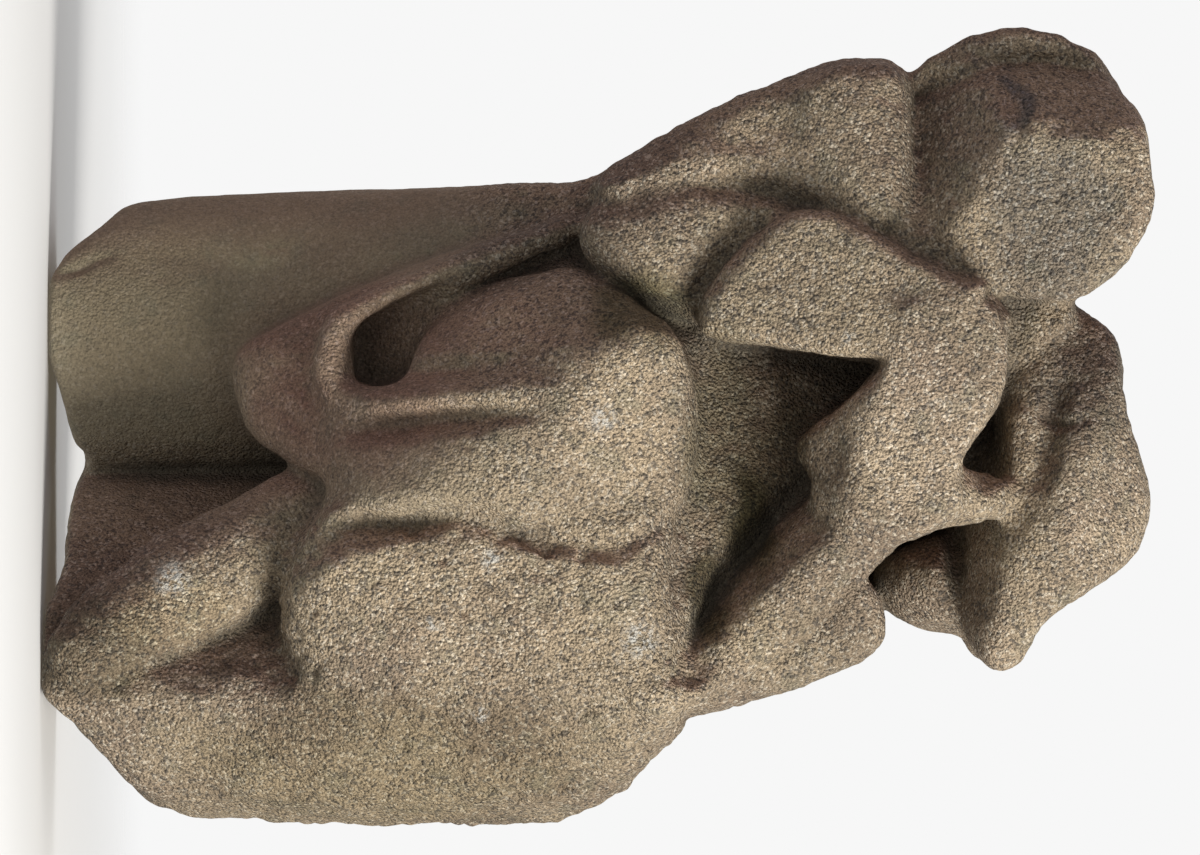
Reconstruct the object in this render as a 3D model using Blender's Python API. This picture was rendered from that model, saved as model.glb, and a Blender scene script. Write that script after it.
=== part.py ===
"""A carved stone capital: two struggling figures in front of a shaft and a worn, broken block.

It is one stone, so it is one object. The carving is built up the way a modeller adds and cuts clay: every form
is a signed distance (below zero inside), the forms are melted together on a grid, and the grid's zero surface
becomes the mesh. The carving is drawn in millimetres on a front view DRAWN_HEIGHT tall and scaled to HEIGHT,
so the figures keep their proportions at another height. A drawn point is (across, out, up): across to the
viewer's right, out towards the viewer and up from the bed that the stone stands on.
"""

import bpy
import numpy as np

HEIGHT = 0.55
DEPTH_BEHIND = 0.119
DRAWN_HEIGHT = 550.0
DRAWN_BED = 2.5
CLAY_STEP = 4.0
TRIANGLES = 9600
FLATTENED = 0.0008
STONE_COLOUR = (0.33, 0.27, 0.21, 1.0)
STONE_ROUGHNESS = 0.95

SCALE = HEIGHT / DRAWN_HEIGHT
BACK = -DEPTH_BEHIND / SCALE
DRAWN_WIDTH = 400.0
DRAWN_FRONT = 185.0
MARGIN = 10.0
FAR = 1000.0


def soft_min(a, b, blend):
    """The union of two forms, with a fillet about blend wide where they meet."""
    if blend <= 0:
        return np.minimum(a, b)
    near = np.maximum(blend - np.abs(a - b), 0) / blend
    return np.minimum(a, b) - near * near * blend / 4


def soft_max(a, b, blend):
    """What two forms share, with its new edges rounded over about blend."""
    return -soft_min(-a, -b, blend)


def plane(point, facing):
    """Everything behind the plane through a point that looks along facing."""
    normal = np.array(facing, float)
    normal /= np.linalg.norm(normal)

    def distance(across, out, up):
        return (across - point[0]) * normal[0] + (out - point[1]) * normal[1] + (up - point[2]) * normal[2]

    return distance


def limb(*balls):
    """A limb through balls, each (across, out, up, radius)."""

    def distance(across, out, up):
        found = FAR
        for (a0, o0, u0, r0), (a1, o1, u1, r1) in zip(balls, balls[1:]):
            run, rise, climb = a1 - a0, o1 - o0, u1 - u0
            along = (across - a0) * run + (out - o0) * rise + (up - u0) * climb
            share = np.clip(along / (run * run + rise * rise + climb * climb), 0, 1)
            gap = (across - a0 - share * run) ** 2 + (out - o0 - share * rise) ** 2 + (up - u0 - share * climb) ** 2
            found = np.minimum(found, np.sqrt(gap) - r0 - share * (r1 - r0))
        return found

    return distance


def egg(centre, radii, lean=0.0):
    """An ellipsoid. lean tips its top to the right in the front view, in degrees."""
    lean = np.radians(lean)

    def distance(across, out, up):
        x, y, z = across - centre[0], out - centre[1], up - centre[2]
        x, z = x * np.cos(lean) - z * np.sin(lean), x * np.sin(lean) + z * np.cos(lean)
        unit = np.sqrt((x / radii[0]) ** 2 + (y / radii[1]) ** 2 + (z / radii[2]) ** 2)
        slope = np.sqrt((x / radii[0] ** 2) ** 2 + (y / radii[1] ** 2) ** 2 + (z / radii[2] ** 2) ** 2)
        return unit * (unit - 1) / np.maximum(slope, 1e-6)

    return distance


def eased(corners):
    """An outline with its corners cut twice, so that its straight runs turn into worn curves."""
    for _ in range(2):
        cut = []
        for (p0, q0), (p1, q1) in zip(corners, corners[1:] + corners[:1]):
            cut += [(0.78 * p0 + 0.22 * p1, 0.78 * q0 + 0.22 * q1), (0.22 * p0 + 0.78 * p1, 0.22 * q0 + 0.78 * q1)]
        corners = cut
    return corners


def outline_distance(corners, p, q):
    """The signed distance in a plane to a closed outline."""
    nearest = np.full(np.broadcast(p, q).shape, FAR * FAR)
    inside = np.zeros(nearest.shape, bool)
    for (p0, q0), (p1, q1) in zip(corners, corners[1:] + corners[:1]):
        run, rise = p1 - p0, q1 - q0
        share = np.clip(((p - p0) * run + (q - q0) * rise) / (run * run + rise * rise), 0, 1)
        nearest = np.minimum(nearest, (p - p0 - share * run) ** 2 + (q - q0 - share * rise) ** 2)
        if rise:
            inside ^= ((q0 > q) != (q1 > q)) & (p < p0 + (q - q0) * run / rise)
    return np.where(inside, -1, 1) * np.sqrt(nearest)


def silhouette(corners):
    """A form with an (across, up) outline that runs right through from front to back."""
    shape = eased(corners)
    return lambda across, out, up: outline_distance(shape, across, up)


def footprint(corners):
    """A form with an (across, out) plan that runs up without end."""
    shape = eased(corners)
    return lambda across, out, up: outline_distance(shape, across, out)


def shared(*forms, blend=0.0):
    """What all of these forms have in common, with edges rounded over about blend."""

    def distance(across, out, up):
        found = forms[0](across, out, up)
        for form in forms[1:]:
            found = soft_max(found, form(across, out, up), blend)
        return found

    return distance


def slab(corners, *faces, blend=8.0, edge=None):
    """A form with a front-view outline, cut off in front by planes, each a point and the way it looks.

    Where faces meet they are rounded over about blend, and along the outline over about edge.
    """
    front = shared(*(plane(point, facing) for point, facing in faces), blend=blend)
    return shared(silhouette(corners), front, blend=blend if edge is None else edge)


class Clay:
    """The stone while it is modelled: the signed distance at each point of a grid."""

    def __init__(self, step):
        self.step = step
        side = DRAWN_WIDTH / 2 + MARGIN
        self.low = np.array((-side, BACK - MARGIN, -MARGIN))
        high = (side, DRAWN_FRONT + MARGIN, DRAWN_HEIGHT + 2 * MARGIN)
        axes = [np.arange(start, end, step) for start, end in zip(self.low, high)]
        self.points = np.meshgrid(*axes, indexing="ij", sparse=True)
        self.field = np.full([len(axis) for axis in axes], FAR)

    def add(self, form, blend=6.0):
        self.field = soft_min(self.field, form(*self.points), blend)

    def cut(self, form, blend=6.0):
        self.field = soft_max(self.field, -form(*self.points), blend)

    def stroke(self, *stops):
        """Raises a rounded ridge on the clay's front, or sinks a groove, along stops.

        Each stop is (across, up, half its width, how far it stands out, below zero for a groove).
        """
        for _ in range(2):
            cut = [stops[0]]
            for start, end in zip(stops, stops[1:]):
                cut += [tuple(0.75 * s + 0.25 * e for s, e in zip(start, end)),
                        tuple(0.25 * s + 0.75 * e for s, e in zip(start, end))]
            stops = cut + [stops[-1]]
        across, up = self.points[0][:, 0], self.points[2][0]
        lift = np.zeros(np.broadcast(across, up).shape)
        for (a0, u0, w0, h0), (a1, u1, w1, h1) in zip(stops, stops[1:]):
            run, climb = a1 - a0, u1 - u0
            share = np.clip(((across - a0) * run + (up - u0) * climb) / (run * run + climb * climb), 0, 1)
            gap = np.hypot(across - a0 - share * run, up - u0 - share * climb) / (w0 + share * (w1 - w0))
            height = h0 + share * (h1 - h0)
            height = height * (1 - np.minimum(gap, 1) ** 2) ** np.where(height > 0, 0.9, 2)
            lift = np.where(np.abs(height) > np.abs(lift), height, lift)
        self.press(lift)

    def press(self, lift):
        """Moves the clay towards the viewer by lift, a map of the front view."""
        layers = self.field.shape[1]
        place = np.clip(np.arange(layers)[None, :, None] - lift[:, None, :] / self.step, 0, layers - 1.001)
        cell = place.astype(int)
        share = place - cell
        near = np.take_along_axis(self.field, cell, axis=1)
        self.field = near + share * (np.take_along_axis(self.field, cell + 1, axis=1) - near)


BLOCK = [
    (-118, 44), (-101, 27), (-91, 12), (-76, 3), (-57, -4), (-36, 3), (-20, 8), (5, 14), (15, 23), (30, 14),
    (48, 11), (66, 13), (80, 8), (94, 0), (110, -4), (125, -1), (138, 8), (146, 19), (160, 32), (175, 44),
    (190, 60), (197, 82), (194, 105), (196, 125), (198, 180), (197, 255), (184, 281), (168, 300), (151, 318),
    (136, 330), (116, 345), (60, 400), (-100, 400), (-125, 278), (-121, 180),
]
CORE = [
    (-118, 60), (-124, 275), (-138, 300), (-156, 330), (-178, 400), (-180, 430), (-176, 450), (-190, 475),
    (-190, 500), (-176, 522), (-160, 540), (-112, 550), (-84, 542), (-66, 512), (-56, 532), (-36, 536),
    (30, 550), (54, 545), (90, 500), (106, 480), (84, 452), (92, 410), (116, 372), (130, 338), (148, 316),
    (172, 284), (188, 250), (186, 90), (120, 20), (-80, 20),
]


def model_block(clay):
    """The shaft on the left, flaring into the bell, and the wedge whose edge the foot stands on."""

    def flaring_shaft(across, out, up):
        rise = np.clip((up - 110) / 190, 0, 1)
        return np.hypot((across + 50) / 78, (out + 62) / 82) * 80 - 80 - 48 * rise * rise

    clay.add(slab(CORE, ((0, -30, 0), (0, 1, 0)), blend=6), 0)
    clay.add(shared(silhouette(BLOCK), flaring_shaft, plane((0, 0, 340), (0, 0, 1)), blend=4), 4)
    wedge = [(10, -25), (124, 122), (146, 116), (200, 60), (200, BACK - 60), (10, BACK - 60)]
    clay.add(shared(silhouette(BLOCK), footprint(wedge), plane((0, 0, 300), (0, 0, 1)), blend=6), 4)


def model_recess(clay):
    """The floor of the hollow between the knee, the arms and the second figure, and the neck above it."""
    floor = [(-90, 270), (-80, 330), (-60, 400), (-20, 440), (60, 430), (136, 334), (142, 290), (60, 280)]
    clay.add(slab(floor, ((0, 82, 330), (-0.36, 1, 0.3))), 6)
    neck = [(-90, 440), (-90, 500), (-66, 514), (-54, 518), (-42, 500), (-28, 480), (-24, 440), (-50, 420)]
    clay.add(slab(neck, ((-45, 86, 495), (-0.1, 1, -0.2))), 8)
    clay.stroke((20, 390, 9, 0), (44, 370, 16, -14), (72, 350, 19, -24), (96, 335, 19, -26), (114, 326, 13, -10),
                (126, 322, 9, 0))


def model_broken_mass(clay):
    """The second figure's lower body, broken back to a rough boss under the knee."""
    outline = [
        (84, 123), (70, 122), (50, 135), (24, 150), (16, 200), (20, 296), (40, 314), (70, 315), (100, 317),
        (126, 321), (148, 323), (166, 302), (182, 281), (195, 255), (198, 180), (196, 120), (180, 90),
        (140, 104), (124, 131), (114, 128), (100, 122),
    ]
    plan = [(10, BACK), (16, 96), (28, 124), (42, 140), (60, 147), (92, 147), (124, 139), (148, 122), (170, 102),
            (200, 66), (200, BACK)]
    worn_top = plane((90, 148, 300), (0.1, 1, 0.8))
    worn_left, worn_corner = plane((60, 138, 134), (-0.4, 1, -1.6)), plane((130, 127, 130), (0.3, 1, -0.4))
    front = shared(footprint(plan), worn_top, worn_left, worn_corner, blend=14)
    clay.add(shared(silhouette(outline), front, blend=18), 8)
    clay.stroke((72, 130, 7, 0), (58, 142, 11, -10), (48, 156, 12, -14), (46, 182, 11, -14), (40, 207, 10, -12),
                (44, 224, 9, -9), (52, 242, 9, -8), (58, 265, 9, -8), (58, 290, 9, -7), (48, 310, 8, -6),
                (34, 326, 7, 0))
    clay.stroke((72, 268, 8, 0), (66, 262, 12, -2), (78, 210, 12, -2), (92, 190, 8, 0))


def model_leg(clay):
    """The bare leg under the hem, down to the foot at the wedge's edge."""
    clay.add(limb((28, 56, 168, 29), (56, 71, 118, 29), (80, 89, 72, 29), (104, 104, 34, 24), (111, 110, 25, 20)), 6)


def model_tunic(clay):
    """The cloth from the hem up over the thigh and knee, and the pocket that its fold makes."""
    skirt = [
        (-92, 276), (-60, 268), (-20, 256), (30, 250), (50, 246), (42, 206), (47, 170), (53, 148), (68, 132),
        (80, 121), (72, 118), (58, 138), (38, 149), (25, 143), (17, 126), (5, 106), (-15, 97), (-38, 95),
        (-52, 118), (-70, 155), (-90, 205), (-104, 255),
    ]
    hem_panel, thigh = ((-30, 98, 240), (-0.8, 1, -0.22)), ((-20, 172, 255), (0.4, 1, 0.1))
    lip = ((40, 128, 160), (0.0, 1, -1.1))
    clay.add(slab(skirt, hem_panel, thigh, lip, blend=20, edge=9), 4)
    knee = [(-76, 235), (-82, 268), (-74, 284), (-62, 300), (-52, 314), (-30, 326), (0, 328), (28, 325), (48, 311),
            (58, 282), (52, 250), (44, 208), (46, 160), (0, 140), (-40, 150), (-60, 190)]
    pillow, thigh = ((-20, 172, 255), (-0.24, 1, -0.33)), ((-20, 172, 255), (0.4, 1, 0.17))
    pillow_side, top = ((-56, 130, 262), (-1.3, 1, -0.45)), ((-60, 172, 297), (0.3, 1, 0.5))
    falling_to_hem = ((0, 146, 200), (-0.6, 1, -0.65))
    clay.add(slab(knee, pillow, thigh, pillow_side, top, falling_to_hem, blend=24, edge=13), 10)
    rim = [(-110, 272), (-100, 242), (-84, 200), (-66, 158), (-60, 146), (-50, 140), (-28, 137), (-14, 142),
           (-7, 156), (-6, 180), (-20, 182), (-21, 166), (-25, 158), (-34, 156), (-46, 158), (-52, 166), (-64, 196),
           (-82, 236), (-96, 272)]
    clay.add(slab(rim, ((-54, 97, 160), (-0.16, 1, 0.19)), blend=9, edge=11), 6)
    clay.stroke((-19, 150, 8, 0), (-15, 164, 9, 10), (-16, 190, 9, 9), (-19, 220, 8, 6), (-21, 250, 7, 2),
                (-23, 262, 6, 0))
    clay.stroke((-86, 266, 8, 0), (-78, 246, 9, -5), (-66, 220, 10, -10), (-55, 198, 12, -13), (-44, 178, 9, 0))
    clay.stroke((-26, 178, 7, 0), (-28, 196, 8, -6), (-31, 215, 8, -5), (-35, 240, 6, 0))
    pocket = [(-56, 163), (-51, 158), (-44, 157), (-28, 157), (-23, 159), (-22, 165), (-22, 178), (-28, 185),
              (-45, 190), (-60, 204), (-78, 228), (-84, 226), (-70, 190)]
    clay.cut(shared(silhouette(pocket), plane((-40, 62, 168), (0.1, -1, 0.55)), blend=6), 5)
    clay.stroke((4, 146, 8, 0), (0, 165, 9, -7), (-4, 195, 9, -9), (-7, 228, 9, -7), (-13, 255, 8, 0))
    clay.stroke((-42, 100, 5, 0), (-18, 100, 6, 0), (-14, 118, 5, -3), (2, 136, 6, -3), (18, 150, 6, 0))


def model_first_figure(clay):
    """The figure on the left: its shoulder and wide sleeve, the raised forearm and the hand."""
    chest = [(-124, 275), (-140, 303), (-157, 332), (-172, 365), (-182, 398), (-183, 428), (-172, 434),
             (-140, 434), (-110, 440), (-86, 452), (-68, 474), (-50, 490), (-30, 440), (-50, 330), (-70, 300)]
    clay.add(slab(chest, ((-82, 122, 425), (-0.4, 1, 0.05)), ((-110, 92, 330), (-0.1, 1, -0.25)), blend=14), 6)
    shoulder = [(-176, 382), (-183, 405), (-182, 428), (-168, 434), (-130, 432), (-100, 424), (-96, 400), (-108, 376),
                (-140, 370)]
    clay.add(slab(shoulder, ((-145, 112, 410), (-0.3, 1, 0.1)), ((-140, 110, 395), (0.0, 1, -0.6)), blend=12), 8)
    upper_sleeve = [(-122, 275), (-138, 300), (-156, 330), (-171, 365), (-181, 395), (-182, 412), (-168, 416),
                    (-120, 412), (-112, 395), (-115, 375), (-120, 340), (-118, 310), (-112, 285)]
    clay.add(slab(upper_sleeve, ((-140, 98, 380), (-0.45, 1, -0.05)), blend=20), 6)
    lower_roll = [(-96, 268), (-113, 276), (-123, 303), (-122, 345), (-112, 386), (-100, 384), (-90, 354),
                  (-66, 334), (-56, 320), (-66, 298), (-80, 278)]
    clay.add(slab(lower_roll, ((-92, 112, 315), (-0.35, 1, -0.1)), ((-90, 112, 320), (0.5, 1, 0.35)), blend=20), 4)
    clay.stroke((-124, 322, 6, 0), (-123, 340, 8, -4), (-119, 365, 9, -8), (-111, 386, 8, -10), (-103, 396, 6, 0))
    clay.stroke((-78, 272, 7, -4), (-70, 282, 10, -8), (-62, 300, 11, -9), (-54, 322, 10, -7), (-48, 334, 7, 0))
    forearm = [(-62, 328), (-46, 330), (-42, 365), (-36, 400), (-34, 430), (-72, 478), (-74, 460), (-95, 420),
               (-109, 395), (-111, 376), (-90, 350)]
    clay.add(shared(slab(forearm, ((-70, 134, 390), (-0.12, 1, -0.2)), blend=10), plane((0, 30, 0), (0, -1, 0))), 3)
    hand = [(-66, 425), (-66, 472), (-48, 482), (-22, 481), (-4, 472), (14, 459), (25, 457), (36, 462),
            (52, 442), (56, 420), (46, 398), (38, 384), (26, 386), (10, 378), (1, 382), (-16, 405), (-36, 424)]
    facets = ((-14, 143, 450), (0.1, 1, 0.06)), ((10, 138, 405), (-0.2, 1, -1.2))
    clay.add(shared(slab(hand, *facets, blend=8), plane((0, 30, 0), (0, -1, 0))), 3)


def model_head(clay):
    """The first figure's head: a roll of hair behind it and the face broken off flat."""
    outline = [
        (-170, 431), (-186, 451), (-195, 474), (-197, 500), (-189, 525), (-178, 532), (-163, 545), (-148, 552),
        (-125, 553), (-110, 556), (-96, 549), (-82, 541), (-70, 528), (-64, 510), (-66, 480), (-78, 458),
        (-100, 432),
    ]
    underside = ((-112, 137, 474), (-0.55, 1, -1.07))
    top = ((-147, 134, 510), (-1.5, 1, 0.15))
    broken_face = ((-120, 126, 500), (0.2, 1, 0.0))
    clay.add(slab(outline, underside, top, broken_face, blend=9), 6)
    clay.add(limb((-170, 60, 432, 7), (-179, 64, 450, 9), (-188, 68, 468, 10), (-191, 72, 486, 10),
                  (-189, 72, 505, 10), (-182, 70, 522, 9), (-170, 66, 532, 7)), 3)
    clay.stroke((-164, 430, 6, -4), (-171, 450, 7, -6), (-178, 468, 7, -6), (-184, 484, 7, -6), (-184, 505, 7, -6),
                (-177, 524, 7, -5), (-162, 541, 6, -3))
    clay.stroke((-180, 480, 5, 0), (-166, 485, 6, -5), (-150, 489, 6, -5), (-138, 486, 5, 0))
    clay.stroke((-178, 495, 4, 0), (-165, 495, 5, 3), (-148, 495, 4, 0))
    clay.stroke((-146, 494, 5, 0), (-151, 512, 6, -3), (-148, 530, 6, -3), (-140, 546, 5, 0))


def model_second_figure(clay):
    """The figure on the right: its body, the arm raised to the hat and the head under the brim."""
    body = [(120, 318), (143, 326), (136, 352), (128, 382), (114, 412), (104, 422), (84, 420), (72, 410), (92, 388),
            (116, 352)]
    clay.add(slab(body, ((105, 114, 385), (0.35, 1, 0.1)), blend=10), 5)
    arm = [(34, 410), (52, 432), (68, 415), (84, 404), (104, 382), (128, 352), (143, 328), (140, 318), (128, 315),
           (104, 322), (74, 346), (42, 374), (30, 388)]
    faces = ((60, 130, 405), (0.35, 1, 0.15)), ((44, 129, 399), (-1.1, 1, -1.25))
    clay.add(slab(arm, *faces, blend=10), 4)
    clay.add(limb((34, 124, 412, 18), (33, 116, 444, 17), (33, 104, 466, 14), (34, 96, 478, 10)), 8)
    clay.add(egg((75, 0, 465), (28, 62, 48)), 4)


def model_hat(clay):
    """The broad hat: a crown above and a worn brim along its edge."""
    hat = [(-65, 510), (-57, 527), (-48, 537), (-35, 541), (-14, 541), (10, 549), (35, 556), (52, 552),
           (63, 547), (77, 529), (91, 506), (101, 498), (113, 491), (122, 481), (115, 471), (102, 462),
           (70, 455), (20, 455), (-20, 470), (-50, 490)]
    under, under_brim = ((30, 114, 513), (-0.25, 1, -0.62)), ((30, 94, 482), (-0.3, 1, -2.2))
    above = ((30, 114, 513), (0.05, 1, 0.85))
    falling_left = ((0, 106, 518), (-0.55, 1, 0))
    falling_right = ((70, 108, 500), (0.35, 1, 0))
    clay.add(slab(hat, under, under_brim, above, falling_left, falling_right, blend=9), 5)
    clay.stroke((-24, 468, 8, -4), (-8, 473, 11, -16), (10, 476, 11, -18), (24, 472, 9, -8))
    clay.stroke((-24, 490, 7, 0), (-4, 486, 8, 4), (16, 483, 8, 4), (36, 482, 7, 0))
    clay.stroke((-32, 510, 8, 0), (-10, 506, 10, -9), (14, 502, 10, -10), (34, 498, 7, 0))
    clay.stroke((42, 462, 7, -6), (56, 459, 10, -18), (78, 460, 10, -14), (94, 464, 7, 0))


def skin(clay):
    """The clay's zero surface: one point in each cell that it crosses and one face across each crossed edge."""
    solid = clay.field < 0
    strides = np.array((solid.shape[1] * solid.shape[2], solid.shape[2], 1))
    totals = np.zeros((4, solid.size))
    rings = []
    for axis in range(3):
        unit = np.eye(3, dtype=int)[axis]
        crossed = np.argwhere(np.diff(solid, axis=axis))
        start, end = clay.field[tuple(crossed.T)], clay.field[tuple((crossed + unit).T)]
        places = crossed + unit * (start / (start - end))[:, None]
        side, other = np.roll(unit, 1), np.roll(unit, 2)
        ring = np.stack([(crossed - back) @ strides for back in (0 * unit, side, side + other, other)], axis=1)
        ring[start >= 0] = ring[start >= 0][:, ::-1]
        rings.append(ring)
        for cells in ring.T:
            for row, weights in zip(totals, (*places.T, np.ones(len(places)))):
                row += np.bincount(cells, weights, solid.size)
    used = totals[3] > 0
    points = (totals[:3, used] / totals[3, used]).T * clay.step + clay.low
    return points, (np.cumsum(used) - 1)[np.concatenate(rings)]


def carve(step):
    clay = Clay(step)
    model_block(clay)
    model_recess(clay)
    model_leg(clay)
    model_tunic(clay)
    model_broken_mass(clay)
    model_second_figure(clay)
    model_hat(clay)
    model_first_figure(clay)
    model_head(clay)
    clay.cut(plane((0, 0, DRAWN_BED), (0, 0, 1)), 0)
    clay.cut(plane((0, BACK, 0), (0, 1, 0)), 0)
    return clay


def stone_material():
    material = bpy.data.materials.new("rough_stone")
    material.use_nodes = True
    shader = material.node_tree.nodes["Principled BSDF"]
    shader.inputs["Base Color"].default_value = STONE_COLOUR
    shader.inputs["Roughness"].default_value = STONE_ROUGHNESS
    return material


def thinned(stone, step, triangles):
    """The stone's mesh as one closed skin with this many triangles, its bed and its cut back left truly flat."""
    whole = stone.modifiers.new("one_skin", "REMESH")
    whole.mode = "VOXEL"
    whole.voxel_size = step * SCALE
    thin = stone.modifiers.new("fewer_faces", "DECIMATE")
    thin.ratio = triangles / (2 * len(stone.data.polygons))
    mesh = bpy.data.meshes.new_from_object(stone.evaluated_get(bpy.context.evaluated_depsgraph_get()))
    back = max(vertex.co.y for vertex in mesh.vertices)
    for vertex in mesh.vertices:
        if vertex.co.z < FLATTENED:
            vertex.co.z = 0
        if vertex.co.y > back - FLATTENED:
            vertex.co.y = back
    return mesh


def stone_object(name, step):
    """The stone as an object that stands on its bed, with the middle of its box over the origin."""
    points, faces = skin(carve(step))
    middle = (points.min(axis=0) + points.max(axis=0)) / 2
    middle[2] = DRAWN_BED
    stood = (points - middle) * (SCALE, -SCALE, SCALE)
    mesh = bpy.data.meshes.new(name)
    mesh.from_pydata(stood.tolist(), [], faces.tolist())
    stone = bpy.data.objects.new(name, mesh)
    bpy.context.scene.collection.objects.link(stone)
    return stone


def main():
    for old in list(bpy.data.objects):
        bpy.data.objects.remove(old)
    stone = stone_object("carved_capital", CLAY_STEP)
    mesh = thinned(stone, CLAY_STEP, TRIANGLES)
    stone.modifiers.clear()
    stone.data = mesh
    mesh.materials.append(stone_material())


if __name__ == "__main__":
    main()
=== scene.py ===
"""A carved stone capital: its rough skin, its weathering, and the light and camera that show it.

It is one stone. Its forms are melted together as clay would be, as in the CAD part, and then the skin gets
what the solid leaves out: worn waves, pits and cracks, the colours of grains, stained patches, moss and
chalk, painted shade in its hollows and shaded places, and painted light on its ridges and lit places.
The stone is drawn in millimetres on a front view DRAWN_HEIGHT tall and scaled to HEIGHT. A drawn point is
(across, out, up): across to the viewer's right, out towards the viewer and up from the bed.
"""

import bpy
import numpy as np
from mathutils import Matrix, Vector


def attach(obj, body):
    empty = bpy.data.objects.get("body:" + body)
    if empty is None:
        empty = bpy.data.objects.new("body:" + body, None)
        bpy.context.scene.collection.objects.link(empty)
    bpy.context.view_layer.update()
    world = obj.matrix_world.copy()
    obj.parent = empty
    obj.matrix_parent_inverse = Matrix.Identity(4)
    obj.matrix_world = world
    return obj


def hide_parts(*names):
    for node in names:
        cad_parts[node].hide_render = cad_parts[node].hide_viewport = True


HEIGHT = 0.55
DEPTH_BEHIND = 0.119
DRAWN_HEIGHT = 550.0
DRAWN_BED = 2.5
CLAY_STEP = 3.0
SKIN_STEP = 1.7
TRIANGLES = 196000

SCALE = HEIGHT / DRAWN_HEIGHT
BACK = -DEPTH_BEHIND / SCALE
DRAWN_WIDTH = 400.0
DRAWN_FRONT = 185.0
MARGIN = 10.0
FAR = 1000.0
TO_METRES = (SCALE, -SCALE, SCALE)


def soft_min(a, b, blend):
    """The union of two forms, with a fillet about blend wide where they meet."""
    if blend <= 0:
        return np.minimum(a, b)
    near = np.maximum(blend - np.abs(a - b), 0) / blend
    return np.minimum(a, b) - near * near * blend / 4


def soft_max(a, b, blend):
    """What two forms share, with its new edges rounded over about blend."""
    return -soft_min(-a, -b, blend)


def plane(point, facing):
    """Everything behind the plane through a point that looks along facing."""
    normal = np.array(facing, float)
    normal /= np.linalg.norm(normal)

    def distance(across, out, up):
        return (across - point[0]) * normal[0] + (out - point[1]) * normal[1] + (up - point[2]) * normal[2]

    return distance


def limb(*balls):
    """A limb through balls, each (across, out, up, radius)."""

    def distance(across, out, up):
        found = FAR
        for (a0, o0, u0, r0), (a1, o1, u1, r1) in zip(balls, balls[1:]):
            run, rise, climb = a1 - a0, o1 - o0, u1 - u0
            along = (across - a0) * run + (out - o0) * rise + (up - u0) * climb
            share = np.clip(along / (run * run + rise * rise + climb * climb), 0, 1)
            square = (across - a0 - share * run) ** 2 + (out - o0 - share * rise) ** 2
            square = square + (up - u0 - share * climb) ** 2
            found = np.minimum(found, np.sqrt(square) - r0 - share * (r1 - r0))
        return found

    return distance


def egg(centre, radii, lean=0.0):
    """An ellipsoid. lean tips its top to the right in the front view, in degrees."""
    lean = np.radians(lean)

    def distance(across, out, up):
        x, y, z = across - centre[0], out - centre[1], up - centre[2]
        x, z = x * np.cos(lean) - z * np.sin(lean), x * np.sin(lean) + z * np.cos(lean)
        unit = np.sqrt((x / radii[0]) ** 2 + (y / radii[1]) ** 2 + (z / radii[2]) ** 2)
        slope = np.sqrt((x / radii[0] ** 2) ** 2 + (y / radii[1] ** 2) ** 2 + (z / radii[2] ** 2) ** 2)
        return unit * (unit - 1) / np.maximum(slope, 1e-6)

    return distance


def eased(corners):
    """An outline with its corners cut twice, so that its straight runs turn into worn curves."""
    for _ in range(2):
        cut = []
        for (p0, q0), (p1, q1) in zip(corners, corners[1:] + corners[:1]):
            for near, far in ((0.78, 0.22), (0.22, 0.78)):
                cut.append((near * p0 + far * p1, near * q0 + far * q1))
        corners = cut
    return corners


def outline_distance(corners, p, q):
    """The signed distance in a plane to a closed outline."""
    nearest = np.full(np.broadcast(p, q).shape, FAR * FAR)
    inside = np.zeros(nearest.shape, bool)
    for (p0, q0), (p1, q1) in zip(corners, corners[1:] + corners[:1]):
        run, rise = p1 - p0, q1 - q0
        share = np.clip(((p - p0) * run + (q - q0) * rise) / (run * run + rise * rise), 0, 1)
        nearest = np.minimum(nearest, (p - p0 - share * run) ** 2 + (q - q0 - share * rise) ** 2)
        if rise:
            inside ^= ((q0 > q) != (q1 > q)) & (p < p0 + (q - q0) * run / rise)
    return np.where(inside, -1, 1) * np.sqrt(nearest)


def silhouette(corners):
    """A form with an (across, up) outline that runs right through from front to back."""
    shape = eased(corners)
    return lambda across, out, up: outline_distance(shape, across, up)


def footprint(corners):
    """A form with an (across, out) plan that runs up without end."""
    shape = eased(corners)
    return lambda across, out, up: outline_distance(shape, across, out)


def shared(*forms, blend=0.0):
    """What all of these forms have in common, with edges rounded over about blend."""

    def distance(across, out, up):
        found = forms[0](across, out, up)
        for form in forms[1:]:
            found = soft_max(found, form(across, out, up), blend)
        return found

    return distance


def slab(corners, *faces, blend=8.0, edge=None):
    """A form with a front-view outline, cut off in front by planes, each a point and the way it looks.

    Where faces meet they are rounded over about blend, and along the outline over about edge.
    """
    front = shared(*(plane(point, facing) for point, facing in faces), blend=blend)
    return shared(silhouette(corners), front, blend=blend if edge is None else edge)


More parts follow.
